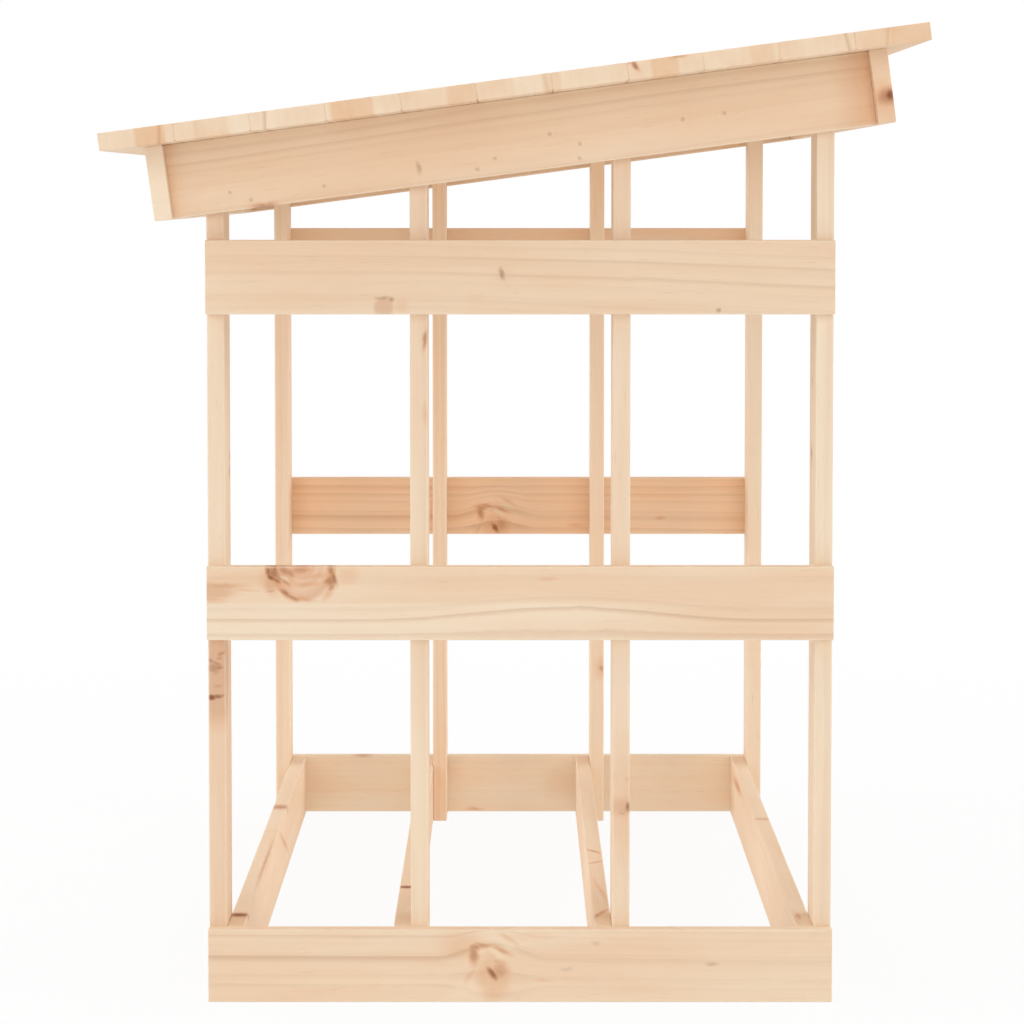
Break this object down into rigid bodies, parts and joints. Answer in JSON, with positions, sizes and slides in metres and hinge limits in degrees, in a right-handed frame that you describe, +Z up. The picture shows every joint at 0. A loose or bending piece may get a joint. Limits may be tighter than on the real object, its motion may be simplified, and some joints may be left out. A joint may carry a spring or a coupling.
{
  "type": "log store",
  "caption": "Open-sided garden log store of planed pine boards: slatted end frames, floor joists on edge and a board roof that slopes to the back.",
  "frame": {"origin": "on the ground, under the centre of the roof", "axes": "+X along the store to its right end, +Y to the low back eave, +Z up"},
  "size_m": [1.08, 0.6448, 0.78],
  "materials": {
    "pine": "planed, untreated"
  },
  "bodies": {
    "root": {"left_back_post": "pine", "left_mid_back_post": "pine", "left_mid_front_post": "pine", "left_front_post": "pine", "left_bottom_rail": "pine", "left_middle_rail": "pine", "left_top_rail": "pine", "left_rafter": "pine", "right_back_post": "pine", "right_mid_back_post": "pine", "right_mid_front_post": "pine", "right_front_post": "pine", "right_bottom_rail": "pine", "right_middle_rail": "pine", "right_top_rail": "pine", "right_rafter": "pine", "back_joist": "pine", "mid_back_joist": "pine", "mid_front_joist": "pine", "front_joist": "pine", "back_fascia": "pine", "front_fascia": "pine", "roof_board_01": "pine", "roof_board_02": "pine", "roof_board_03": "pine", "roof_board_04": "pine", "roof_board_05": "pine", "roof_board_06": "pine", "roof_board_07": "pine", "roof_board_08": "pine", "roof_board_09": "pine", "roof_board_10": "pine", "roof_board_11": "pine"}
  },
  "joints": []
}
